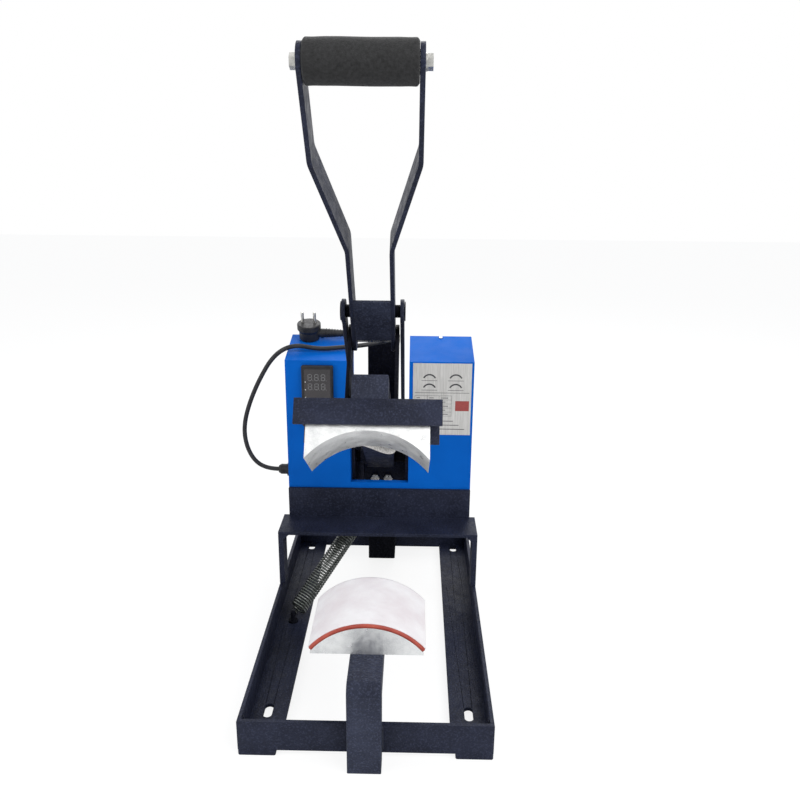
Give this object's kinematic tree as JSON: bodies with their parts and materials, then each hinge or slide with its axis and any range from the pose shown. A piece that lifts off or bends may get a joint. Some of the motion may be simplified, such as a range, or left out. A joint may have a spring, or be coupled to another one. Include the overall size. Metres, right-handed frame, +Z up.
{
  "type": "curved-platen heat press",
  "caption": "Hand press with a padded convex lower platen, a heated concave platen on a hinged beam, a toggle handle with foam grip and twin control boxes.",
  "frame": {"origin": "centre of the footprint of the frame and head, on the surface the press stands on, leaving out the mains lead", "axes": "+X to the right of someone at the grip, +Y to the rear, +Z up; the rest pose is the open press"},
  "size_m": [0.3724, 0.596, 0.7888],
  "materials": {
    "frame_paint": "hammered stove enamel",
    "housing_paint": "satin powder coat",
    "aluminium_block": "machined",
    "zinc_steel": "zinc plated",
    "spring_steel": "oiled black",
    "silicone": "matt",
    "cover_cloth": "woven",
    "foam": "closed-cell foam",
    "insulation_board": "pressed fibre board",
    "black_plastic": "fine texture",
    "display_plastic": "tinted",
    "key_plastic": "satin",
    "label_foil": "brushed foil",
    "cord_rubber": "satin",
    "sleeve_glass": "braided",
    "brass_pins": "nickel plated"
  },
  "bodies": {
    "frame": {"rails": "frame_paint", "front_bar": "frame_paint", "rear_bar": "frame_paint", "foot_pads": "frame_paint", "front_post": "frame_paint", "lower_platen": "aluminium_block", "lower_platen_bolts": "zinc_steel", "silicone_pad": "silicone", "pad_cover": "cover_cloth", "legs": "frame_paint", "shelf_angle": "frame_paint", "column": "frame_paint", "pivot_back_plate": "frame_paint", "back_plate_bolts": "zinc_steel", "pivot_plates": "frame_paint", "beam_pivot_pin": "zinc_steel", "pivot_spacers": "zinc_steel", "link_pivot_pins": "zinc_steel", "housing_left": "housing_paint", "housing_right": "housing_paint", "housing_sill": "housing_paint", "housing_trays": "frame_paint", "back_panels": "housing_paint", "housing_screws": "zinc_steel", "controller_body": "black_plastic", "controller_bezel": "black_plastic", "display_window": "display_plastic", "label_plate": "label_foil", "relay": "black_plastic", "terminal_block": "black_plastic", "cable_gland": "black_plastic", "power_cord": "cord_rubber", "plug_body": "cord_rubber", "plug_pins": "brass_pins", "return_spring": "spring_steel", "spring_anchor": "zinc_steel"},
    "beam_arm": {"beam": "frame_paint", "tail_lever": "frame_paint", "spring_pin": "zinc_steel", "platen_channel": "frame_paint", "insulation_block": "insulation_board", "upper_platen": "aluminium_block", "cartridge_heaters": "zinc_steel", "thermocouple": "zinc_steel", "platen_bolts": "zinc_steel", "heater_lead": "sleeve_glass", "bracket_plates": "frame_paint", "handle_pivot_pin": "zinc_steel"},
    "handle": {"left_arm": "frame_paint", "right_arm": "frame_paint", "cross_plate": "frame_paint", "grip_tube": "zinc_steel", "foam_grip": "foam", "grip_bolts": "zinc_steel", "link_bolt": "zinc_steel"},
    "links": {"link_plates": "frame_paint"},
    "key_1_cap": {"key_1": "key_plastic"},
    "key_2_cap": {"key_2": "key_plastic"},
    "key_3_cap": {"key_3": "key_plastic"},
    "key_4_cap": {"key_4": "key_plastic"}
  },
  "joints": [
    {"name": "beam_lift", "type": "hinge", "parent": "frame", "child": "beam_arm", "pos_m": [0, 0.168, 0.215], "axis": [1, 0, 0], "range_deg": [0, 33], "stiffness_Nm_per_rad": 25, "springref_deg": -57.3, "deforming": ["return_spring"]},
    {"name": "handle_swing", "type": "hinge", "parent": "beam_arm", "child": "handle", "pos_m": [0, -0.04335, 0.46112], "axis": [1, 0, 0], "range_deg": [0, 47]},
    {"name": "link_swing", "type": "hinge", "parent": "frame", "child": "links", "pos_m": [0, 0.158, 0.23974], "axis": [1, 0, 0], "range_deg": [0, 41.26]},
    {"name": "key_1_press", "type": "slide", "parent": "frame", "child": "key_1_cap", "axis": [0, 1, 0], "range_m": [0, 0.0008], "stiffness_N_per_m": 400, "springref_m": -0.001},
    {"name": "key_2_press", "type": "slide", "parent": "frame", "child": "key_2_cap", "axis": [0, 1, 0], "range_m": [0, 0.0008], "stiffness_N_per_m": 400, "springref_m": -0.001},
    {"name": "key_3_press", "type": "slide", "parent": "frame", "child": "key_3_cap", "axis": [0, 1, 0], "range_m": [0, 0.0008], "stiffness_N_per_m": 400, "springref_m": -0.001},
    {"name": "key_4_press", "type": "slide", "parent": "frame", "child": "key_4_cap", "axis": [0, 1, 0], "range_m": [0, 0.0008], "stiffness_N_per_m": 400, "springref_m": -0.001}
  ],
  "couplings": [
    {"joint": "handle_swing", "follows": "beam_lift", "ratio": 1.4242},
    {"joint": "link_swing", "follows": "beam_lift", "ratio": 1.2503}
  ]
}
